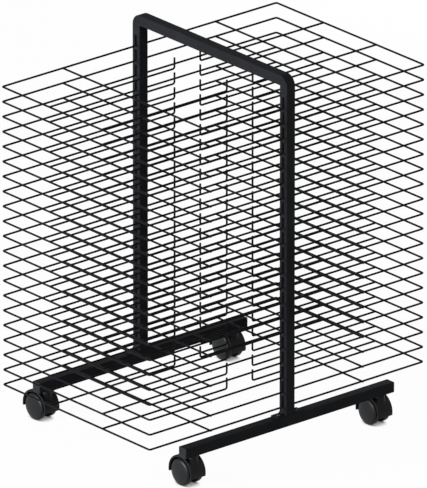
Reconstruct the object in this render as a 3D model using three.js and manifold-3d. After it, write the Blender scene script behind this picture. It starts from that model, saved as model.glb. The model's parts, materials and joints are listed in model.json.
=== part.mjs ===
// Art drying rack: a square-tube hoop on two rolling feet, with wire half-shelves on both of its sides.
// Millimetres, +Z up. X runs across the hoop, Y along the feet and the shelves.
// The origin is on the floor, under the middle of the overall footprint.
import * as THREE from "three";
import { mergeVertices } from "three/addons/utils/BufferGeometryUtils.js";
import Module from "manifold-3d";

// Fits
const SEAT_GAP = 0.3;
const RUNNING_GAP = 0.3;

// Square tube of the hoop and the feet
const TUBE = 22;
const TUBE_WALL = 1.5;
const TUBE_EDGE = 1.4;

// Hoop, base plates and feet
const HOOP_WIDTH = 450;
const HOOP_RISE = 717.5;
const HOOP_BEND_RADIUS = 12;
const HOOP_BEND_STEPS = 6;
const PLATE_LENGTH = 68;
const PLATE_THICKNESS = 3;
const SCREW_SPACING = 44;
const SCREW_HOLE = 5.5;
const FOOT_LENGTH = 545;

// Wire half-shelves
const LEVELS = 21;
const LOWEST_LEVEL = 15;
const HIGHEST_LEVEL_DROP = 67.5;
const WIRE = 4;
const WIRE_SIDES = 5;
const WELD_DEPTH = 1.2;
const SHELF_REACH = 356.7;
const SHELF_CORNER_RADIUS = 4;
const STOP_SPACING = 160;
const STOP_REACH = 33.5;
const STOP_HEIGHT = 23.5;
const STOP_BEND_RADIUS = 4;
const CROSS_WIRE_REACH = 198.5;

// Twin-wheel casters
const CASTER_HEIGHT = 66;
const CASTER_INSET = 28.3;
const CASTER_TRAIL = 18.5;
const WHEEL = 55;
const WHEEL_SIDES = 16;
const WHEEL_SPREAD = 43;
const WHEEL_DOME = 3;
const WHEEL_SHOULDER = 2.2;
const WHEEL_RIM = 3.6;
const WHEEL_WEB = 5;
const HUB = 13;
const HUB_SIDE_GAP = 0.6;
const AXLE = 6;
const AXLE_LENGTH = 32;
const HOOD_CLEARANCE = 3.5;
const HOOD_WALL = 5;
const HOOD_WIDTH = 38;
const HOOD_SKIRT = 6.5;
const HOOD_WEB = 16;
const BOSS = 19;
const BOSS_FLOOR = 1.5;
const STEM = 8;
const STEM_DROP = 9;
const ROUND_STEPS = 16;

// Heights and places that follow from the sizes above
const AXLE_HEIGHT = WHEEL / 2;
const FOOT_TOP = CASTER_HEIGHT + TUBE;
const PLATE_TOP = FOOT_TOP + PLATE_THICKNESS;
const LEVEL_PITCH = (HOOP_RISE - HIGHEST_LEVEL_DROP - LOWEST_LEVEL) / (LEVELS - 1);
const HOOD_INNER = WHEEL / 2 + HOOD_CLEARANCE;
const HOOD_OUTER = HOOD_INNER + HOOD_WALL;
const SIDES = { left: -1, right: 1 };
const ENDS = { front: -1, back: 1 };

const wasm = await Module();
wasm.setup();

const paint = (color, roughness, metalness) => new THREE.MeshStandardMaterial({ color, roughness, metalness });
const TUBE_PAINT = paint(0x2a2b2d, 0.5, 0.4);
const WIRE_PAINT = paint(0x161617, 0.45, 0.4);
const HOOD_PLASTIC = paint(0x141415, 0.45, 0);
const WHEEL_PLASTIC = paint(0x34393b, 0.4, 0);

// Closed solids to join and cut, and back to a geometry.
function solid(geometry) {
  geometry.deleteAttribute("normal");
  geometry.deleteAttribute("uv");
  const merged = mergeVertices(geometry, 1e-3);
  const vertProperties = new Float32Array(merged.attributes.position.array);
  const triVerts = new Uint32Array(merged.index.array);
  return new wasm.Manifold(new wasm.Mesh({ numProp: 3, vertProperties, triVerts }));
}

function shapeOf(body) {
  const mesh = body.getMesh();
  const geometry = new THREE.BufferGeometry();
  geometry.setAttribute("position", new THREE.BufferAttribute(mesh.vertProperties, 3));
  geometry.setIndex(new THREE.BufferAttribute(mesh.triVerts, 1));
  return geometry;
}

// A route of straight runs joined by round bends, with a section only where a bend starts, turns or ends.
class BentRoute extends THREE.Curve {
  constructor(corners, bendRadius, bendSteps) {
    super();
    this.stations = [];
    const heading = (from, to) => new THREE.Vector3().subVectors(to, from).normalize();
    corners.forEach((corner, i) => {
      const before = i > 0 ? heading(corners[i - 1], corner) : null;
      const after = i < corners.length - 1 ? heading(corner, corners[i + 1]) : null;
      if (before && after) this.bend(corner, before, after, bendRadius(i), bendSteps);
      else this.stations.push({ point: corner, tangent: before ?? after });
    });
  }

  bend(corner, before, after, radius, steps) {
    const turn = before.angleTo(after);
    const inward = after.clone().addScaledVector(before, -before.dot(after)).normalize();
    const start = corner.clone().addScaledVector(before, -radius * Math.tan(turn / 2));
    const centre = start.clone().addScaledVector(inward, radius);
    for (let k = 0; k <= steps; k++) {
      const angle = (turn * k) / steps;
      const point = centre.clone();
      point.addScaledVector(inward, -radius * Math.cos(angle));
      point.addScaledVector(before, radius * Math.sin(angle));
      const tangent = before.clone().multiplyScalar(Math.cos(angle));
      tangent.addScaledVector(inward, Math.sin(angle));
      this.stations.push({ point, tangent });
    }
  }

  station(t) {
    return this.stations[Math.round(t * (this.stations.length - 1))];
  }

  getPointAt(t) {
    return this.station(t).point.clone();
  }

  getTangentAt(t) {
    return this.station(t).tangent.clone();
  }
}

function sweep(section, corners, bendRadius, bendSteps) {
  const extrudePath = new BentRoute(corners, bendRadius, bendSteps);
  const steps = extrudePath.stations.length - 1;
  return new THREE.ExtrudeGeometry(section, { extrudePath, steps });
}

// An outline in X and Z, drawn out along Y and centred on Y = 0.
function drawnOut(outline, depth, curveSegments = ROUND_STEPS / 2) {
  const geometry = new THREE.ExtrudeGeometry(outline, { depth, bevelEnabled: false, curveSegments });
  return geometry.rotateX(Math.PI / 2).translate(0, depth / 2, 0);
}

function upright(diameter, bottom, top, x, y) {
  const geometry = new THREE.CylinderGeometry(diameter / 2, diameter / 2, top - bottom, ROUND_STEPS);
  return geometry.rotateX(Math.PI / 2).translate(x, y, (bottom + top) / 2);
}

// Square tube section: eased outer edges and a square bore.
function tubeSection() {
  const outer = TUBE / 2;
  const flat = outer - TUBE_EDGE;
  const bore = outer - TUBE_WALL;
  const section = new THREE.Shape();
  section.moveTo(outer, -flat).lineTo(outer, flat).lineTo(flat, outer).lineTo(-flat, outer);
  section.lineTo(-outer, flat).lineTo(-outer, -flat).lineTo(-flat, -outer).lineTo(flat, -outer);
  section.closePath();
  const hole = new THREE.Path();
  hole.moveTo(bore, -bore).lineTo(bore, bore).lineTo(-bore, bore).lineTo(-bore, -bore).closePath();
  section.holes.push(hole);
  return section;
}

// Hoop: one tube bent into an inverted U, open at its two lower ends.
function hoop() {
  const x = HOOP_WIDTH / 2;
  const topLine = PLATE_TOP + HOOP_RISE - TUBE / 2;
  const corners = [
    new THREE.Vector3(-x, 0, PLATE_TOP),
    new THREE.Vector3(-x, 0, topLine),
    new THREE.Vector3(x, 0, topLine),
    new THREE.Vector3(x, 0, PLATE_TOP),
  ];
  return sweep(tubeSection(), corners, () => HOOP_BEND_RADIUS, HOOP_BEND_STEPS);
}

// Base plate: a flat strip under each upright, with a screw hole on either side of it.
function basePlate() {
  const x = TUBE / 2;
  const y = PLATE_LENGTH / 2;
  const outline = new THREE.Shape();
  outline.moveTo(-x, -y).lineTo(x, -y).lineTo(x, y).lineTo(-x, y).closePath();
  for (const end of Object.values(ENDS)) {
    const hole = new THREE.Path();
    hole.absarc(0, (end * SCREW_SPACING) / 2, SCREW_HOLE / 2, 0, 2 * Math.PI);
    outline.holes.push(hole);
  }
  const settings = { depth: PLATE_THICKNESS, bevelEnabled: false, curveSegments: ROUND_STEPS / 4 };
  return new THREE.ExtrudeGeometry(outline, settings).translate(0, 0, FOOT_TOP);
}

// Foot: a tube along Y with a caster stem fixed in it near each end.
function foot() {
  const reach = FOOT_LENGTH / 2;
  const line = CASTER_HEIGHT + TUBE / 2;
  const corners = [new THREE.Vector3(0, -reach, line), new THREE.Vector3(0, reach, line)];
  let body = solid(sweep(tubeSection(), corners));
  for (const end of Object.values(ENDS)) {
    const stem = upright(STEM, CASTER_HEIGHT - STEM_DROP, FOOT_TOP - TUBE_WALL / 2, 0, end * (reach - CASTER_INSET));
    body = body.add(solid(stem));
  }
  return shapeOf(body);
}

// Half-shelf on the +Y side: a wire bent round three edges, two stop wires and a cross wire pressed into them.
// Its four long wires turn up at the hoop: the outer two lie on the uprights, the others stop the paper.
function halfShelf() {
  const wireCorner = (_, i) => {
    const angle = (2 * Math.PI * i) / WIRE_SIDES;
    return new THREE.Vector2((WIRE / 2) * Math.cos(angle), (WIRE / 2) * Math.sin(angle));
  };
  const wireCorners = Array.from({ length: WIRE_SIDES }, wireCorner);
  const section = new THREE.Shape(wireCorners);

  const edge = HOOP_WIDTH / 2;
  const seat = TUBE / 2 + SEAT_GAP + WIRE / 2;
  const edgeWire = [
    new THREE.Vector3(-edge, seat, STOP_HEIGHT),
    new THREE.Vector3(-edge, seat, 0),
    new THREE.Vector3(-edge, SHELF_REACH, 0),
    new THREE.Vector3(edge, SHELF_REACH, 0),
    new THREE.Vector3(edge, seat, 0),
    new THREE.Vector3(edge, seat, STOP_HEIGHT),
  ];
  const isTail = (i) => i === 1 || i === edgeWire.length - 2;
  const edgeBends = (i) => (isTail(i) ? STOP_BEND_RADIUS : SHELF_CORNER_RADIUS);
  let body = solid(sweep(section, edgeWire, edgeBends, 1));

  for (const side of Object.values(SIDES)) {
    const x = (side * STOP_SPACING) / 2;
    const stopWire = [
      new THREE.Vector3(x, STOP_REACH, STOP_HEIGHT),
      new THREE.Vector3(x, STOP_REACH, 0),
      new THREE.Vector3(x, SHELF_REACH, 0),
    ];
    body = body.add(solid(sweep(section, stopWire, () => STOP_BEND_RADIUS, 1)));
  }

  // A level wire has the first corner of its section at its foot.
  const topOfWire = -Math.min(...wireCorners.map((corner) => corner.x));
  const below = WELD_DEPTH - WIRE / 2 - topOfWire;
  const crossWire = [
    new THREE.Vector3(-edge, CROSS_WIRE_REACH, below),
    new THREE.Vector3(edge, CROSS_WIRE_REACH, below),
  ];
  return shapeOf(body.add(solid(sweep(section, crossWire))));
}

// Caster housing, with its axle at the origin: an arched hood over both wheels, a web between them that
// holds the axle, and the bored boss that turns on the stem.
function casterHousing() {
  const bossTop = CASTER_HEIGHT - AXLE_HEIGHT - SEAT_GAP;
  const boreFloor = CASTER_HEIGHT - AXLE_HEIGHT - STEM_DROP - SEAT_GAP;
  const boreDiameter = (STEM + 2 * RUNNING_GAP) / Math.cos(Math.PI / ROUND_STEPS);

  const skirtAngle = Math.asin(HOOD_SKIRT / HOOD_OUTER);
  const arch = new THREE.Shape();
  arch.absarc(0, 0, HOOD_OUTER, -skirtAngle, Math.PI + skirtAngle).closePath();
  let body = solid(drawnOut(arch, HOOD_WIDTH));
  body = body.add(solid(upright(BOSS, boreFloor - BOSS_FLOOR, bossTop, CASTER_TRAIL, 0)));

  const pocket = new THREE.Shape();
  pocket.absarc(0, 0, HOOD_INNER, 0, 2 * Math.PI);
  const pocketDepth = HOOD_WIDTH;
  for (const end of Object.values(ENDS)) {
    const wheelSpace = drawnOut(pocket, pocketDepth);
    wheelSpace.translate(0, (end * (HOOD_WEB + pocketDepth)) / 2, 0);
    body = body.subtract(solid(wheelSpace));
  }
  body = body.subtract(solid(upright(boreDiameter, boreFloor, bossTop + STEM, CASTER_TRAIL, 0)));

  const axle = new THREE.Shape();
  axle.absarc(0, 0, AXLE / 2, 0, 2 * Math.PI);
  return shapeOf(body.add(solid(drawnOut(axle, AXLE_LENGTH, ROUND_STEPS / 4))));
}

// Wheel on the +Y end of the axle: a domed disc over a hollow rim, with a hub that takes the axle end.
// Its flats, not its corners, stand on the floor and clear the axle.
function wheel() {
  const acrossCorners = 1 / Math.cos(Math.PI / WHEEL_SIDES);
  const tread = WHEEL / 2;
  const face = WHEEL_SPREAD / 2;
  const shoulder = face - WHEEL_DOME;
  const inside = HOOD_WEB / 2 + HUB_SIDE_GAP;
  const rimInside = tread - WHEEL_RIM;
  const bore = AXLE / 2 + RUNNING_GAP;
  const axleEnd = AXLE_LENGTH / 2 + SEAT_GAP;
  const profile = [
    [0, axleEnd],
    [bore, axleEnd],
    [bore, inside],
    [HUB / 2, inside],
    [HUB / 2, shoulder - WHEEL_WEB],
    [rimInside, shoulder - WHEEL_WEB],
    [rimInside, inside],
    [tread, inside],
    [tread, shoulder - WHEEL_SHOULDER],
    [tread - WHEEL_SHOULDER, shoulder],
    [0, face],
  ];
  const points = profile.map(([radius, y]) => new THREE.Vector2(radius * acrossCorners, y));
  return new THREE.LatheGeometry(points, WHEEL_SIDES, Math.PI / WHEEL_SIDES);
}

function piece(name, geometry, material) {
  const mesh = new THREE.Mesh(geometry, material);
  mesh.name = name;
  return mesh;
}

// The casters all trail to -X, so the frame stands off the middle of the footprint by their trail.
const rack = new THREE.Group();
const frame = new THREE.Group();
frame.position.x = CASTER_TRAIL;
rack.add(frame);
frame.add(piece("hoop", hoop(), TUBE_PAINT));

const plateShape = basePlate();
const footShape = foot();
const housingShape = casterHousing();
const wheelShape = wheel();
for (const [sideName, side] of Object.entries(SIDES)) {
  const leg = new THREE.Group();
  leg.position.x = (side * HOOP_WIDTH) / 2;
  frame.add(leg);
  leg.add(piece(`base_plate_${sideName}`, plateShape, TUBE_PAINT));
  leg.add(piece(`foot_${sideName}`, footShape, TUBE_PAINT));

  for (const [endName, end] of Object.entries(ENDS)) {
    const name = `caster_${endName}_${sideName}`;
    const caster = new THREE.Group();
    caster.position.set(-CASTER_TRAIL, end * (FOOT_LENGTH / 2 - CASTER_INSET), AXLE_HEIGHT);
    leg.add(caster);
    caster.add(piece(`${name}_housing`, housingShape, HOOD_PLASTIC));
    for (const [wheelName, wheelEnd] of Object.entries(ENDS)) {
      const turned = piece(`${name}_wheel_${wheelName}`, wheelShape, WHEEL_PLASTIC);
      turned.rotation.x = wheelEnd > 0 ? 0 : Math.PI;
      caster.add(turned);
    }
  }
}

const shelfShape = halfShelf();
for (const [endName, end] of Object.entries(ENDS)) {
  for (let level = 1; level <= LEVELS; level++) {
    const shelf = piece(`shelf_${endName}_${String(level).padStart(2, "0")}`, shelfShape, WIRE_PAINT);
    shelf.position.z = PLATE_TOP + LOWEST_LEVEL + (level - 1) * LEVEL_PITCH;
    shelf.rotation.z = end > 0 ? 0 : Math.PI;
    frame.add(shelf);
  }
}

export default rack;
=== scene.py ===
import json
import math

import bpy
import numpy as np
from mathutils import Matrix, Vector


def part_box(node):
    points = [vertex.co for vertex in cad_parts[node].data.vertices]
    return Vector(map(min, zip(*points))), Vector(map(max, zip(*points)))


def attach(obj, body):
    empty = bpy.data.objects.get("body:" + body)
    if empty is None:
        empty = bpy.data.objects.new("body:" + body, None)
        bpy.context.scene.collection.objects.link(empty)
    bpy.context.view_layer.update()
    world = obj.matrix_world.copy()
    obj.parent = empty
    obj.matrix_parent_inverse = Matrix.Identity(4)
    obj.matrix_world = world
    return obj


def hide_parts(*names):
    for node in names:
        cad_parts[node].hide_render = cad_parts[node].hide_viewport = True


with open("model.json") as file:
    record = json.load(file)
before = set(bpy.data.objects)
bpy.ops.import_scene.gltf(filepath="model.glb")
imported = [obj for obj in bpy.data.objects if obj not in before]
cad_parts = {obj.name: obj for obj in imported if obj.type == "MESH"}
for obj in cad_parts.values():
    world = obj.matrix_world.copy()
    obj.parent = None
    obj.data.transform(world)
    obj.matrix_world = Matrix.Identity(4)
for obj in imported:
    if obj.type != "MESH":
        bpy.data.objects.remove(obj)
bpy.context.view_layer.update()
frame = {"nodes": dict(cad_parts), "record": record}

MM = 0.001


# Hoop
# One length of square steel tube, bent cold into an inverted U and powder coated satin black.
# Both halves of every shelf level are welded to its two uprights.
def linear(hex_colour):
    """An sRGB hex colour as linear RGBA: the standard power curve with its straight toe."""
    value = np.array([int(hex_colour[i:i + 2], 16) for i in (1, 3, 5)]) / 255
    rgb = np.where(value <= 0.04045, value / 12.92, ((value + 0.055) / 1.055) ** 2.4)
    return (*rgb.tolist(), 1.0)


def add_node(tree, kind, values=None, links=None, **settings):
    """Adds one node: its settings, the values of its inputs, and the sockets that feed its inputs."""
    node = tree.nodes.new(kind)
    for name, setting in settings.items():
        setattr(node, name, setting)
    for name, value in (values or {}).items():
        node.inputs[name].default_value = value
    for name, socket in (links or {}).items():
        tree.links.new(socket, node.inputs[name])
    return node


def powder_coat(name, deep, pale, roughness, gloss, peel_size, drift_size):
    """Satin powder coat on steel: baked plastic over metal. The eye sees a soft sheen, the orange peel
    of the melted powder, drawn a little coarse so that it shows, and a slow drift of tone where the
    coat lies thicker.
    """
    peel_share = 0.3
    peel_strength = 0.25
    peel_depth = 0.15 * MM
    tone_range = {"From Min": 0.4, "From Max": 0.9}
    sheen_range = {"To Min": roughness - 0.06, "To Max": roughness + 0.08}
    material = bpy.data.materials.new(name)
    material.use_nodes = True
    tree = material.node_tree
    coat = tree.nodes["Principled BSDF"]
    coat.inputs["Specular IOR Level"].default_value = gloss
    place = add_node(tree, "ShaderNodeTexCoord").outputs["Object"]
    peel = add_node(tree, "ShaderNodeTexNoise", {"Scale": 1 / peel_size, "Detail": 2}, {"Vector": place})
    drift = add_node(tree, "ShaderNodeTexNoise", {"Scale": 1 / drift_size, "Detail": 3}, {"Vector": place})
    both = add_node(tree, "ShaderNodeMath", {1: peel_share},
                    {0: peel.outputs["Fac"], 2: drift.outputs["Fac"]}, operation="MULTIPLY_ADD")
    tone = add_node(tree, "ShaderNodeMapRange", tone_range, {"Value": both.outputs[0]})
    colour = add_node(tree, "ShaderNodeMix", {6: linear(deep), 7: linear(pale)}, {0: tone.outputs[0]},
                      data_type="RGBA")
    tree.links.new(colour.outputs[2], coat.inputs["Base Color"])
    sheen = add_node(tree, "ShaderNodeMapRange", sheen_range, {"Value": drift.outputs["Fac"]})
    tree.links.new(sheen.outputs[0], coat.inputs["Roughness"])
    bump = add_node(tree, "ShaderNodeBump", {"Strength": peel_strength, "Distance": peel_depth},
                    {"Height": peel.outputs["Fac"]})
    tree.links.new(bump.outputs[0], coat.inputs["Normal"])
    return material


def rounded(width, height, radius, arc_points=6, ease=0.4 * MM):
    """A rectangle with round corners, anticlockwise. Each corner is an arc between two points that lie
    just inside the flats, which keep the flats' shading flat.
    """
    angle = np.linspace(0, np.pi / 2, arc_points)
    arc = np.column_stack([np.cos(angle), np.sin(angle)]) * radius
    arc = np.vstack([[radius, -ease], arc, [-ease, radius]])
    reach = np.array([width / 2 - radius, height / 2 - radius])
    quarter_turns = [(1, 0, 0, 1), (0, -1, 1, 0), (-1, 0, 0, -1), (0, 1, -1, 0)]
    corners = []
    for turn, signs in zip(quarter_turns, [(1, 1), (-1, 1), (-1, -1), (1, -1)]):
        corners.append(arc @ np.array(turn).reshape(2, 2).T + reach * signs)
    return np.vstack(corners)


def bent_path(corners, radii, steps):
    """Straight runs joined by round bends: the points of each bend's arc, with the heading at each."""
    corners = np.asarray(corners, float)
    headings = np.diff(corners, axis=0)
    headings /= np.linalg.norm(headings, axis=1)[:, None]
    points = [corners[:1]]
    tangents = [headings[:1]]
    for corner, before, after, radius in zip(corners[1:-1], headings, headings[1:], radii):
        turn = np.arccos(before @ after)
        inward = after - before * (before @ after)
        inward /= np.linalg.norm(inward)
        centre = corner - before * radius * np.tan(turn / 2) + inward * radius
        angle = np.linspace(0, turn, steps + 1)[:, None]
        points.append(centre + radius * (before * np.sin(angle) - inward * np.cos(angle)))
        tangents.append(before * np.cos(angle) + inward * np.sin(angle))
    points.append(corners[-1:])
    tangents.append(headings[-1:])
    return np.vstack(points), np.vstack(tangents)


def carried(section, points, tangents, across, scale=None):
    """A closed section carried along a path: each ring is its point plus the section's two coordinates
    along the side direction and along heading x side. The side turns with the heading, without twist.
    """
    side = np.asarray(across, float)
    sides = [side]
    for before, after in zip(tangents, tangents[1:]):
        side = side - (before + after) * (after @ side) / (1 + before @ after)
        sides.append(side)
    sides = np.array(sides)
    others = np.cross(tangents, sides)
    scale = np.ones(len(points)) if scale is None else np.asarray(scale)
    offsets = section[None, :, :1] * sides[:, None] + section[None, :, 1:] * others[:, None]
    return points[:, None] + offsets * scale[:, None, None]


def skin(rings, closed=False):
    """Quads between neighbouring rings of points, with the two end rings closed by one face each, or
    joined to each other.
    """
    count, size = rings.shape[:2]
    index = np.arange(count * size).reshape(count, size)
    lower = index if closed else index[:-1]
    upper = np.roll(index, -1, axis=0) if closed else index[1:]
    quads = np.stack([lower, np.roll(lower, -1, 1), np.roll(upper, -1, 1), upper], axis=-1)
    faces = quads.reshape(-1, 4).tolist()
    if not closed:
        faces += [index[0, ::-1].tolist(), index[-1].tolist()]
    return rings.reshape(-1, 3), faces


crease_angle = math.radians(32)


def put_piece(name, skins, material, body, nodes=()):
    """One object from several closed skins, on the body that carries it."""
    vertices = np.vstack([points for points, _ in skins])
    starts = np.cumsum([0] + [len(points) for points, _ in skins[:-1]])
    faces = [[i + start for i in face] for start, (_, own) in zip(starts.tolist(), skins) for face in own]
    mesh = bpy.data.meshes.new(name)
    mesh.from_pydata(vertices, [], faces)
    mesh.materials.append(material)
    mesh.polygons.foreach_set("use_smooth", np.ones(len(faces), bool))
    mesh.set_sharp_from_angle(angle=crease_angle)
    piece = bpy.data.objects.new(name, mesh)
    bpy.context.collection.objects.link(piece)
    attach(piece, body)
    if nodes:
        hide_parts(*nodes)
    return piece


hoop_low, hoop_high = (np.array(corner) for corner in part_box("hoop"))
tube = hoop_high[1] - hoop_low[1]
tube_edge = 1.4 * MM
tube_section = rounded(tube, tube, tube_edge)
hoop_bend = 12 * MM
hoop_bend_steps = 14
hoop_x = (hoop_low[0] + tube / 2, hoop_high[0] - tube / 2)
hoop_middle = sum(hoop_x) / 2
hoop_line = hoop_high[2] - tube / 2
satin_black_tube = powder_coat("satin_black_powder_coat_tube", "#232426", "#2c2d30", roughness=0.45,
                               gloss=0.007, peel_size=1.6 * MM, drift_size=70 * MM)

hoop_corners = [
    (hoop_x[0], 0, hoop_low[2]),
    (hoop_x[0], 0, hoop_line),
    (hoop_x[1], 0, hoop_line),
    (hoop_x[1], 0, hoop_low[2]),
]
hoop_points, hoop_headings = bent_path(hoop_corners, [hoop_bend] * 2, hoop_bend_steps)
hoop_rings = carried(tube_section, hoop_points, hoop_headings, (0, 1, 0))
put_piece("hoop_tube", [skin(hoop_rings)], satin_black_tube, "frame", ["hoop"])

# Base plates
# A flat steel strip under each upright, welded all round to the tube and screwed down on the foot.
# The weld is a rippled bead, painted over with the rest of the hoop.
plate_edge = 0.7 * MM
plate_corner = 2.2 * MM
weld_size = 1.7 * MM
weld_ripple = 0.14
weld_ripples = 44
weld_sides = 12
uprights = list(zip(("left", "right"), hoop_x))


def weld_skin(centre_x, base):
    """A bead round the tube: a small circle about each point of the tube's outline, whose radius swells
    and shrinks as a sine along the outline.
    """
    around = np.arange(len(tube_section)) / len(tube_section) * 2 * np.pi
    bead = weld_size * (1 + weld_ripple * np.sin(weld_ripples * around))
    outwards = tube_section / np.linalg.norm(tube_section, axis=1)[:, None]
    rings = []
    for angle in np.linspace(0, 2 * np.pi, weld_sides, endpoint=False):
        spread = tube_section + outwards * (bead * np.cos(angle))[:, None]
        rings.append(np.column_stack([spread + [centre_x, 0], base + bead * np.sin(angle)]))
    return skin(np.array(rings), closed=True)


for side, centre_x in uprights:
    low, high = (np.array(corner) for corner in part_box(f"base_plate_{side}"))
    width, length = (high - low)[:2]
    plate_steps = [
        (plate_edge, low[2]),
        (0, low[2] + plate_edge),
        (0, high[2] - plate_edge),
        (plate_edge, high[2]),
    ]
    plate_rings = []
    for inset, z in plate_steps:
        outline = rounded(width - 2 * inset, length - 2 * inset, plate_corner - inset)
        plate_rings.append(np.column_stack([outline + [centre_x, 0], np.full(len(outline), z)]))
    skins = [skin(np.array(plate_rings)), weld_skin(centre_x, high[2])]
    put_piece(f"welded_base_plate_{side}", skins, satin_black_tube, "frame", [f"base_plate_{side}"])

# Base plate screws
# Black button-head machine screws with a hexagon socket, one on each side of an upright.
# They hold the hoop on its feet and come out when the rack is packed flat.
screw_spacing = 44 * MM
screw_head = 9.4 * MM
screw_rise = 3.0 * MM
screw_sides = 36
head_rim = 0.3 * MM
head_crown = [(0.2 * MM, 0.4), (1.0 * MM, 0.78), (1.8 * MM, 0.96)]
socket = 5 * MM
socket_rim = 0.2 * MM
socket_floor = 0.25
ends = (("front", -1), ("back", 1))


def black_screw_steel():
    """Black-oxide steel: a thin dark film on turned metal, which the eye reads as a dull metal gleam."""
    film_grain = 1.5 * MM
    gleam_range = {"To Min": 0.3, "To Max": 0.5}
    material = bpy.data.materials.new("black_oxide_screw_steel")
    material.use_nodes = True
    tree = material.node_tree
    steel = tree.nodes["Principled BSDF"]
    steel.inputs["Metallic"].default_value = 0.9
    place = add_node(tree, "ShaderNodeTexCoord").outputs["Object"]
    film = add_node(tree, "ShaderNodeTexNoise", {"Scale": 1 / film_grain, "Detail": 3}, {"Vector": place})
    colour = add_node(tree, "ShaderNodeMix", {6: linear("#2a2a2b"), 7: linear("#454547")},
                      {0: film.outputs["Fac"]}, data_type="RGBA")
    tree.links.new(colour.outputs[2], steel.inputs["Base Color"])
    gleam = add_node(tree, "ShaderNodeMapRange", gleam_range, {"Value": film.outputs["Fac"]})
    tree.links.new(gleam.outputs[0], steel.inputs["Roughness"])
    return material


screw_steel = black_screw_steel()
screw_turn = np.linspace(0, 2 * np.pi, screw_sides, endpoint=False)
circle = np.ones(screw_sides)
# A hexagon's radius over that of the circle inside it: 1 / cos of the angle from the nearest flat.
hexagon = 1 / np.cos((screw_turn + np.pi / 6) % (np.pi / 3) - np.pi / 6)
screw_profile = [(screw_head / 2 - head_rim, 0, circle), (screw_head / 2, head_rim, circle)]
screw_profile += [(screw_head / 2 - inset, share * screw_rise, circle) for inset, share in head_crown]
screw_profile += [
    (socket / 2 + socket_rim, screw_rise, hexagon),
    (socket / 2, screw_rise - socket_rim, hexagon),
    (socket / 2, socket_floor * screw_rise, hexagon),
]
for side, centre_x in uprights:
    plate_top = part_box(f"base_plate_{side}")[1][2]
    for end, sign in ends:
        rings = []
        for radius, rise, outline in screw_profile:
            x = centre_x + radius * outline * np.cos(screw_turn)
            y = sign * screw_spacing / 2 + radius * outline * np.sin(screw_turn)
            rings.append(np.column_stack([x, y, np.full_like(x, plate_top + rise)]))
        put_piece(f"plate_screw_{side}_{end}", [skin(np.array(rings))], screw_steel, "frame")

# Feet and their end caps
# Two straight lengths of the same square tube. Moulded polyethylene caps are pushed into their ends,
# with a flange that covers the cut edge and a shallow sink mark in the middle.
cap_flange = 2.2 * MM
cap_inset = 0.1 * MM
cap_edge = 1.2 * MM
cap_edge_turn = 0.35 * cap_edge
cap_edge_fall = 0.06 * MM
cap_corner_share = 0.6
cap_sink = 0.5 * MM
sink_rim = 3.5 * MM
sink_slope = 5 * MM
sink_slope_share = 0.3
sink_floor = 7 * MM
plug_outside = 1.9 * MM
plug_inside = 3 * MM
plug_depth = 6 * MM


def moulded_plastic(name, deep, pale, roughness, gloss, grain_size):
    """Moulded thermoplastic: a fine spark-eroded grain from the mould, drawn coarse enough to show, and
    a slight mottle where the melt cooled. The eye sees an even, soft gleam.
    """
    mottle_size = 14 * MM
    grain_strength = 0.2
    grain_depth = 0.1 * MM
    gleam_range = {"To Min": roughness - 0.05, "To Max": roughness + 0.1}
    material = bpy.data.materials.new(name)
    material.use_nodes = True
    tree = material.node_tree
    plastic = tree.nodes["Principled BSDF"]
    plastic.inputs["Specular IOR Level"].default_value = gloss
    place = add_node(tree, "ShaderNodeTexCoord").outputs["Object"]
    grain = add_node(tree, "ShaderNodeTexNoise", {"Scale": 1 / grain_size, "Detail": 2}, {"Vector": place})
    mottle = add_node(tree, "ShaderNodeTexNoise", {"Scale": 1 / mottle_size, "Detail": 3},
                      {"Vector": place})
    colour = add_node(tree, "ShaderNodeMix", {6: linear(deep), 7: linear(pale)}, {0: mottle.outputs["Fac"]},
                      data_type="RGBA")
    tree.links.new(colour.outputs[2], plastic.inputs["Base Color"])
    gleam = add_node(tree, "ShaderNodeMapRange", gleam_range, {"Value": grain.outputs["Fac"]})
    tree.links.new(gleam.outputs[0], plastic.inputs["Roughness"])
    bump = add_node(tree, "ShaderNodeBump", {"Strength": grain_strength, "Distance": grain_depth},
                    {"Height": grain.outputs["Fac"]})
    tree.links.new(bump.outputs[0], plastic.inputs["Normal"])
    return material


cap_plastic = moulded_plastic("grey_polyethylene_cap", "#191b1d", "#222426", roughness=0.5, gloss=0.12,
                              grain_size=0.9 * MM)
foot_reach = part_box("foot_left")[1][1]
foot_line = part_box("foot_left")[1][2] - tube / 2
foot_bottom = foot_line - tube / 2
# Each point: how far it lies inside the tube's faces, and how far out of the tube's cut end.
cap_profile = [
    (plug_inside, -plug_depth),
    (plug_outside, -plug_depth),
    (plug_outside, 0),
    (cap_inset, 0),
    (cap_inset, cap_flange - cap_edge),
    (cap_edge_turn, cap_flange - cap_edge_turn),
    (cap_edge, cap_flange - cap_edge_fall),
    (sink_rim, cap_flange),
    (sink_slope, cap_flange - sink_slope_share * cap_sink),
    (sink_floor, cap_flange - cap_sink),
]
for side, centre_x in uprights:
    run = np.array([(centre_x, -1, foot_line), (centre_x, 1, foot_line)])
    run[:, 1] *= foot_reach - cap_flange
    rings = carried(tube_section, run, np.array([(0, 1, 0), (0, 1, 0)], float), (1, 0, 0))
    put_piece(f"foot_tube_{side}", [skin(rings)], satin_black_tube, "frame", [f"foot_{side}"])
    for end, sign in ends:
        rings = []
        for inset, out in cap_profile:
            half = tube / 2 - inset
            outline = rounded(2 * half, 2 * half, min(tube_edge, cap_corner_share * half))
            x = centre_x - sign * outline[:, 0]
            y = np.full(len(outline), sign * (foot_reach - cap_flange + out))
            rings.append(np.column_stack([x, y, foot_line + outline[:, 1]]))
        put_piece(f"foot_cap_{side}_{end}", [skin(np.array(rings))], cap_plastic, "frame")

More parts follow.
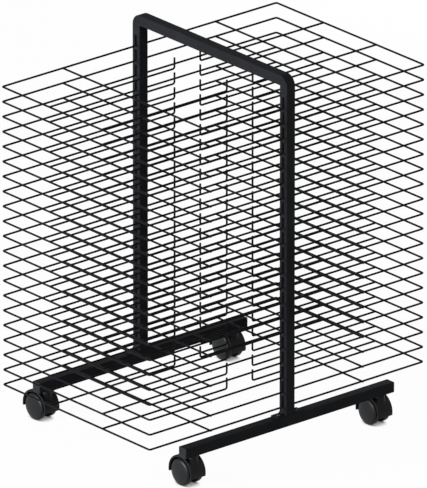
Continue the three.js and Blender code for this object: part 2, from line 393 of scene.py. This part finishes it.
# Wire half-shelves
# Drawn steel wire, bent and resistance welded into a panel, then powder coated black. An edge wire runs
# round three sides, two stop wires keep the paper off the hoop, and a cross wire ties them from below.
# The upturned ends of the edge wire are tacked to the faces of the uprights.
wire = 4 * MM
wire_sides = 12
stop_height = 23.5 * MM
stop_reach = 33.5 * MM
stop_x = 80 * MM
shelf_reach = 356.7 * MM
cross_reach = 198.5 * MM
cross_drop = 1.2 * MM
tail_bend = 4.5 * MM
corner_bend = 4 * MM
wire_bend_steps = 7
end_ease = 0.4 * MM
end_share = 0.72
tail_gap = 0.15 * MM
tail_seat = tube / 2 + tail_gap + wire / 2
tack_seat = tube / 2 + 0.35 * wire
tack_heights = (0.35 * stop_height, 0.85 * stop_height)
tack_weld = (1.5 * wire, 0.8 * wire, 1.4 * wire)
butt_weld = (1.5 * wire, 1.2 * wire, 0.9 * wire)
cross_weld = (1.15 * wire, 1.15 * wire, 0.8 * wire)
nugget_pole = 0.12
nugget_rings = 6
nugget_sides = 10
edge_x = (hoop_x[1] - hoop_x[0]) / 2
wire_turn = np.linspace(0, 2 * np.pi, wire_sides, endpoint=False)
wire_section = np.column_stack([np.cos(wire_turn), np.sin(wire_turn)]) * wire / 2
satin_black_wire = powder_coat("satin_black_powder_coat_wire", "#18181a", "#1f1f21", roughness=0.42,
                               gloss=0.012, peel_size=1.2 * MM, drift_size=40 * MM)


def drawn_wire(corners, radii, across):
    """A round wire along straight runs and bends, with the sheared rims of its two ends eased."""
    points, headings = bent_path(corners, radii, wire_bend_steps)
    first = points[0] + headings[0] * end_ease
    last = points[-1] - headings[-1] * end_ease
    points = np.vstack([points[:1], [first], points[1:-1], [last], points[-1:]])
    headings = np.vstack([headings[:1], headings, headings[-1:]])
    scale = np.ones(len(points))
    scale[[0, -1]] = end_share
    return skin(carried(wire_section, points, headings, across, scale))


def weld_nugget(centre, size):
    """An ellipsoid: rings of radius sin(a) at height -cos(a), stretched to the nugget's three sizes."""
    angle = np.linspace(nugget_pole, np.pi - nugget_pole, nugget_rings)[:, None]
    turn = np.linspace(0, 2 * np.pi, nugget_sides, endpoint=False)[None]
    ball = [np.sin(angle) * np.cos(turn), np.sin(angle) * np.sin(turn), -np.cos(angle) + 0 * turn]
    return skin(np.stack(ball, axis=-1) * np.array(size) / 2 + centre)


def half_shelf():
    """The panel on the +Y side, about the hoop's middle, with its long wires at height 0."""
    edge_corners = [
        (-edge_x, tail_seat, stop_height),
        (-edge_x, tail_seat, 0),
        (-edge_x, shelf_reach, 0),
        (edge_x, shelf_reach, 0),
        (edge_x, tail_seat, 0),
        (edge_x, tail_seat, stop_height),
    ]
    skins = [drawn_wire(edge_corners, [tail_bend, corner_bend, corner_bend, tail_bend], (1, 0, 0))]
    for x in (-stop_x, stop_x):
        stop_corners = [(x, stop_reach, stop_height), (x, stop_reach, 0), (x, shelf_reach - wire / 4, 0)]
        skins.append(drawn_wire(stop_corners, [tail_bend], (1, 0, 0)))
        skins.append(weld_nugget((x, shelf_reach - wire / 2, 0), butt_weld))
    cross_end = edge_x + wire / 3
    cross_corners = [(-cross_end, cross_reach, -cross_drop), (cross_end, cross_reach, -cross_drop)]
    skins.append(drawn_wire(cross_corners, [], (0, 1, 0)))
    for x in (-edge_x, -stop_x, stop_x, edge_x):
        skins.append(weld_nugget((x, cross_reach, -cross_drop / 2), cross_weld))
    for x in (-edge_x, edge_x):
        for z in tack_heights:
            skins.append(weld_nugget((x, tack_seat, z), tack_weld))
    return skins


panel = half_shelf()
for end, sign in ends:
    levels = sorted(name for name in frame["nodes"] if name.startswith(f"shelf_{end}_"))
    for node in levels:
        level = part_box(node)[1][2] - stop_height
        turned = [(points * [sign, sign, 1] + [hoop_middle, 0, level], faces) for points, faces in panel]
        put_piece(f"wire_{node}", turned, satin_black_wire, "frame", [node])

# Caster stems
# A turned pin of black-oxide steel, pressed into a socket in the foot. The caster's housing turns on it,
# so only its shoulder shows in the thin gap under the tube.
stem_radius = 4 * MM
stem_chamfer = 0.8 * MM
stem_drop = 9 * MM
stem_depth = 14 * MM
stem_sides = 32
shoulder_radius = 6 * MM
shoulder_drop = 0.2 * MM
shoulder_depth = 0.5 * MM


def revolved(profile, centre, axis, across, count):
    """A profile of (radius, distance along the axis) turned about the axis: each point gives one ring."""
    axis = np.asarray(axis, float)
    across = np.asarray(across, float)
    other = np.cross(axis, across)
    turn = np.linspace(0, 2 * np.pi, count, endpoint=False)
    spoke = np.cos(turn)[:, None] * across + np.sin(turn)[:, None] * other
    profile = np.asarray(profile, float)
    return centre + profile[:, :1, None] * spoke[None] + profile[:, 1:, None] * axis


stem_profile = [
    (stem_radius - stem_chamfer, -stem_drop),
    (stem_radius, stem_chamfer - stem_drop),
    (stem_radius, -shoulder_drop),
    (shoulder_radius, -shoulder_drop),
    (shoulder_radius, shoulder_depth),
    (stem_radius, shoulder_depth),
    (stem_radius, stem_depth),
]
joints = frame["record"]["behaviour"]["joints"]
swivels = [joint for joint in joints if joint["name"].endswith("_swivel")]
for joint in swivels:
    centre = np.array([joint["pos_m"][0], joint["pos_m"][1], foot_bottom])
    rings = revolved(stem_profile, centre, (0, 0, 1), (1, 0, 0), stem_sides)
    put_piece(f"{joint['child']}_stem", [skin(rings)], screw_steel, "frame")

# Caster housings
# One nylon moulding: an arched hood over both wheels, a web between them that holds the axle, and a
# boss, blended into the hood, that is bored for the stem. The steel axle is pressed through the web.
hood_outer = 36 * MM
hood_wall = 5 * MM
hood_width = 38 * MM
hood_skirt_drop = 6.5 * MM
hood_skirt = math.asin(hood_skirt_drop / hood_outer)
hood_crown = 0.7 * MM
hood_edge = 1.2 * MM
hood_steps = 60
web = 16 * MM
web_steps = 48
boss_radius = 9.5 * MM
boss_blend = 2.2 * MM
boss_sink = 0.2 * MM
boss_turn = 0.35 * boss_blend
boss_gap = 0.3 * MM
boss_sides = 40
boss_arch_limit = 0.97
boss_floor_rings = (0.5 * MM, 4 * MM, 8 * MM)
rim_round = 1.0 * MM
rim_turn = 0.3 * MM
bore_gap = 0.3 * MM
axle_radius = 3 * MM
axle_length = 32 * MM
axle_chamfer = 0.5 * MM
axle_sides = 24
hood_nylon = moulded_plastic("black_moulded_nylon_hood", "#0e0e0f", "#151516", roughness=0.4, gloss=0.12,
                             grain_size=0.8 * MM)


def hood_skin(axle):
    """The hood's wall, a strip with a crowned outer face and round edges, carried round the arch."""
    angle = np.linspace(-hood_skirt, np.pi + hood_skirt, hood_steps + 1)
    radius = hood_outer - hood_wall / 2
    points = np.column_stack([np.cos(angle), 0 * angle, np.sin(angle)]) * radius + axle
    headings = np.column_stack([-np.sin(angle), 0 * angle, np.cos(angle)])
    strip = rounded(hood_wall, hood_width, hood_edge)
    strip[:, 0] -= np.where(strip[:, 0] > 0, hood_crown * (2 * strip[:, 1] / hood_width) ** 4, 0)
    return skin(carried(strip, points, headings, (math.cos(hood_skirt), 0, -math.sin(hood_skirt))))


def web_skin(axle):
    """The web, the arch's outline closed by its chord and drawn out along Y to the web's thickness."""
    angle = np.linspace(-hood_skirt, np.pi + hood_skirt, web_steps + 1)
    outline = np.column_stack([np.cos(angle), 0 * angle, np.sin(angle)]) * (hood_outer - hood_wall / 2)
    return skin(np.array([outline + axle + [0, half, 0] for half in (web / 2, -web / 2)]))


def boss_skin(axle, swivel, top):
    """The boss: circles about the swivel axis. The lowest lie on the hood's arch, z = sqrt(R^2 - x^2),
    the next flare into it, and the last are the rim and the wall of the bore.
    """
    turn = np.linspace(0, 2 * np.pi, boss_sides, endpoint=False)
    circle = np.column_stack([np.cos(turn), np.sin(turn), 0 * turn])
    inside = hood_outer - hood_wall / 2
    foot_steps = [(radius, inside, 0) for radius in boss_floor_rings]
    foot_steps += [
        (boss_radius + boss_blend, inside, 0),
        (boss_radius + boss_blend, hood_outer - boss_sink, 0),
        (boss_radius + boss_turn, hood_outer, boss_turn),
        (boss_radius, hood_outer, boss_blend),
    ]
    foot_rings = []
    for radius, arch, lift in foot_steps:
        ring = circle * radius + swivel
        x = np.minimum(np.abs(ring[:, 0] - axle[0]), boss_arch_limit * arch)
        ring[:, 2] = axle[2] + np.sqrt(arch ** 2 - x ** 2) + lift
        foot_rings.append(ring)
    rim = [
        (boss_radius, top - rim_round),
        (boss_radius - rim_turn, top - rim_turn),
        (boss_radius - rim_round, top),
        (stem_radius + bore_gap, top),
        (stem_radius + bore_gap, top - stem_drop),
    ]
    rim_rings = [circle * radius + [swivel[0], swivel[1], z] for radius, z in rim]
    return skin(np.array(foot_rings + rim_rings))


axle_profile = [
    (axle_radius - axle_chamfer, -axle_length / 2),
    (axle_radius, axle_chamfer - axle_length / 2),
    (axle_radius, axle_length / 2 - axle_chamfer),
    (axle_radius - axle_chamfer, axle_length / 2),
]
joint_of = {joint["child"]: joint for joint in joints}
for joint in swivels:
    caster = joint["child"]
    axle = np.array(joint_of[f"{caster}_wheel_front"]["pos_m"])
    swivel = np.array([joint["pos_m"][0], joint["pos_m"][1], 0])
    skins = [hood_skin(axle), web_skin(axle), boss_skin(axle, swivel, foot_bottom - boss_gap)]
    put_piece(f"{caster}_hood", skins, hood_nylon, caster, [f"{caster}_housing"])
    axle_rings = revolved(axle_profile, axle, (0, 1, 0), (1, 0, 0), axle_sides)
    put_piece(f"{caster}_axle", [skin(axle_rings)], screw_steel, caster)

# Caster wheels
# Two moulded nylon wheels on each axle, hollow towards the web, with a hub that clips on the axle. A
# domed grey cover, moulded in polypropylene, is snapped into the outer face of each.
wheel_sides = 72
wheel_pole = 0.4 * MM
tread_radius = 27.5 * MM
tread_edge = 1.2 * MM
tread_edge_points = 6
tread_chamfer = 0.6 * MM
rim_root = 23.6 * MM
rim_mouth = 24.2 * MM
rim_depth = 13.5 * MM
face_in = web / 2 + 0.6 * MM
hub_radius = 6.5 * MM
hub_bore = 3.3 * MM
hub_depth = 16.3 * MM
cover_radius = 25.7 * MM
cover_seat = 18.5 * MM
cover_rise = 2.7 * MM
cover_recess = 0.3 * MM
cover_lip = 0.5 * MM
cover_foot = 1 * MM
cover_foot_fall = 0.25 * MM
cover_skirt = 0.2 * MM
cover_skirt_rise = 0.1 * MM
cover_gap = 0.25 * MM
dome_points = 14
dome_pole = 0.02
dome_edge = 0.9
wheel_nylon = moulded_plastic("black_nylon_tread", "#0d0e0f", "#141516", roughness=0.45, gloss=0.12,
                              grain_size=0.8 * MM)
cover_plastic = moulded_plastic("grey_polypropylene_cover", "#0a0d0f", "#0f1315", roughness=0.33,
                                gloss=0.175, grain_size=1.0 * MM)

# Both profiles: radius, and distance out along the axle from the caster's middle.
wheel_profile = [
    (wheel_pole, hub_depth),
    (hub_bore, hub_depth),
    (hub_bore, face_in),
    (hub_radius, face_in),
    (hub_radius, rim_depth),
    (rim_root, rim_depth),
    (rim_mouth, face_in),
    (tread_radius - tread_chamfer, face_in),
    (tread_radius, face_in + tread_chamfer),
    (tread_radius, rim_depth),
]
wheel_profile += [
    (tread_radius - tread_edge * (1 - math.cos(a)), cover_seat - tread_edge * (1 - math.sin(a)))
    for a in np.linspace(0, np.pi / 2, tread_edge_points)
]
wheel_profile += [
    (cover_radius - cover_skirt, cover_seat - cover_recess),
    (wheel_pole, cover_seat - cover_recess),
]
cover_profile = [
    (cover_radius - cover_foot, cover_seat - cover_foot_fall),
    (cover_radius - cover_gap, cover_seat - cover_skirt),
    (cover_radius - cover_gap, cover_seat + cover_skirt_rise),
]
# The dome is halfway between a paraboloid and an ellipsoid, and its rim is drawn in by the lip.
for r in np.linspace(1, dome_pole, dome_points):
    dome = cover_rise * (1 - r ** 2 + math.sqrt(1 - r ** 2)) / 2
    drawn_in = cover_lip if r > dome_edge else 0
    cover_profile.append((cover_radius * r - drawn_in, cover_seat + cover_recess + dome))

for joint in swivels:
    for end, sign in ends:
        wheel = f"{joint['child']}_wheel_{end}"
        axle = np.array(joint_of[wheel]["pos_m"])
        rings = revolved(wheel_profile, axle, (0, sign, 0), (1, 0, 0), wheel_sides)
        put_piece(f"{wheel}_tread", [skin(rings)], wheel_nylon, wheel, [wheel])
        rings = revolved(cover_profile, axle, (0, sign, 0), (1, 0, 0), wheel_sides)
        put_piece(f"{wheel}_cover", [skin(rings)], cover_plastic, wheel)

# Studio
# A white floor and a white room, with a broad soft lamp on the side of the shelves' front ends and weak
# ones at the right and behind. The floor is nearly white to the camera and keeps the rack's faint shadow.
# Close under the casters, ambient occlusion darkens the floor's glow: a painted contact shadow.
floor_size = 16.0
floor_glow = 0.93
floor_white = 1.04
floor_grey = (0.6, 0.6, 0.6, 1)
# Painted contact shadow: how far the occlusion looks, how dark it makes the floor's glow, and the ramp
# between.
contact_reach = 0.031
painted_shadow_dark = 0.12
contact_samples = 32
painted_shadow_range = {"From Min": 0.2, "From Max": 0.6, "To Min": painted_shadow_dark, "To Max": floor_white}
room_light = 0.25


def white_room(tree):
    """White to the camera, to reflections and to glass; the rays that light the rack see a plain grey."""
    ray = add_node(tree, "ShaderNodeLightPath").outputs
    seen = add_node(tree, "ShaderNodeMath", None, {0: ray["Is Camera Ray"], 1: ray["Is Glossy Ray"]},
                    operation="MAXIMUM")
    return add_node(tree, "ShaderNodeMath", None, {0: seen.outputs[0], 1: ray["Is Transmission Ray"]},
                    operation="MAXIMUM").outputs[0]


world = bpy.data.worlds.new("white_room")
bpy.context.scene.world = world
world.use_nodes = True
room = world.node_tree
plain = room.nodes["Background"]
plain.inputs["Color"].default_value = (1, 1, 1, 1)
plain.inputs["Strength"].default_value = room_light
bright = add_node(room, "ShaderNodeBackground", {"Color": (1, 1, 1, 1), "Strength": 1.0})
choice = add_node(room, "ShaderNodeMixShader", None,
                  {0: white_room(room), 1: plain.outputs[0], 2: bright.outputs[0]})
room.links.new(choice.outputs[0], room.nodes["World Output"].inputs["Surface"])

paper = bpy.data.materials.new("white_paper_floor")
paper.use_nodes = True
sheet = paper.node_tree
matt = add_node(sheet, "ShaderNodeBsdfDiffuse", {"Color": floor_grey})
# Painted contact shadow: the ambient occlusion near the casters dims the glow that the camera sees.
contact = add_node(sheet, "ShaderNodeAmbientOcclusion", {"Distance": contact_reach},
                   samples=contact_samples)
painted_shadow_strength = add_node(sheet, "ShaderNodeMapRange", painted_shadow_range, {"Value": contact.outputs["AO"]})
glow = add_node(sheet, "ShaderNodeEmission", None, {"Strength": painted_shadow_strength.outputs[0]})
share = add_node(sheet, "ShaderNodeMath", {1: floor_glow}, {0: white_room(sheet)}, operation="MULTIPLY")
floor_mix = add_node(sheet, "ShaderNodeMixShader", None,
                     {0: share.outputs[0], 1: matt.outputs[0], 2: glow.outputs[0]})
sheet.links.new(floor_mix.outputs[0], sheet.nodes["Material Output"].inputs["Surface"])
sheet.nodes.remove(sheet.nodes["Principled BSDF"])
floor_mesh = bpy.data.meshes.new("floor")
floor_corners = np.array([(-1, -1, 0), (1, -1, 0), (1, 1, 0), (-1, 1, 0)]) * floor_size / 2
floor_mesh.from_pydata(floor_corners, [], [(0, 1, 2, 3)])
floor_mesh.materials.append(paper)
floor = bpy.data.objects.new("floor", floor_mesh)
bpy.context.collection.objects.link(floor)


def aimed(holder, aim):
    """Turns a lamp or a camera, which look along their own -Z, to face a point."""
    heading = Vector(aim) - holder.location
    holder.rotation_euler = heading.to_track_quat("-Z", "Y").to_euler()


aim_height = 382.5 * MM
rack_middle = np.array([hoop_middle, 0, aim_height])
for name, place, size, power in (
    ("front_lamp", (-0.8, -3.4, 0.5), 1.6, 185),
    ("side_lamp", (2.4, -0.6, 2.4), 1.4, 14),
    ("back_lamp", (-1.8, 2.6, 0.6), 1.0, 12),
):
    lamp = bpy.data.lights.new(name, "AREA")
    lamp.size = size
    lamp.energy = power
    holder = bpy.data.objects.new(name, lamp)
    bpy.context.collection.objects.link(holder)
    holder.location = place
    aimed(holder, rack_middle)

# Camera
# A very long lens far away, because the photograph is practically a parallel projection.
# Its angles and scale were fitted on the hoop, the feet and the corners of the shelves.
view_azimuth = math.radians(49.61)
view_elevation = math.radians(21.77)
photo_height = 488
pixels_per_mm = 0.5036
frame_height = photo_height / pixels_per_mm * MM
lens = 1400
sensor = 36
view_distance = frame_height * lens / sensor
camera_data = bpy.data.cameras.new("camera")
camera_data.lens = lens
camera_data.sensor_width = sensor
camera = bpy.data.objects.new("camera", camera_data)
bpy.context.collection.objects.link(camera)
backwards = np.array([
    math.sin(view_azimuth) * math.cos(view_elevation),
    -math.cos(view_azimuth) * math.cos(view_elevation),
    math.sin(view_elevation),
])
camera.location = rack_middle + backwards * view_distance
aimed(camera, rack_middle)
bpy.context.scene.camera = camera
bpy.context.scene.view_settings.view_transform = "Standard"
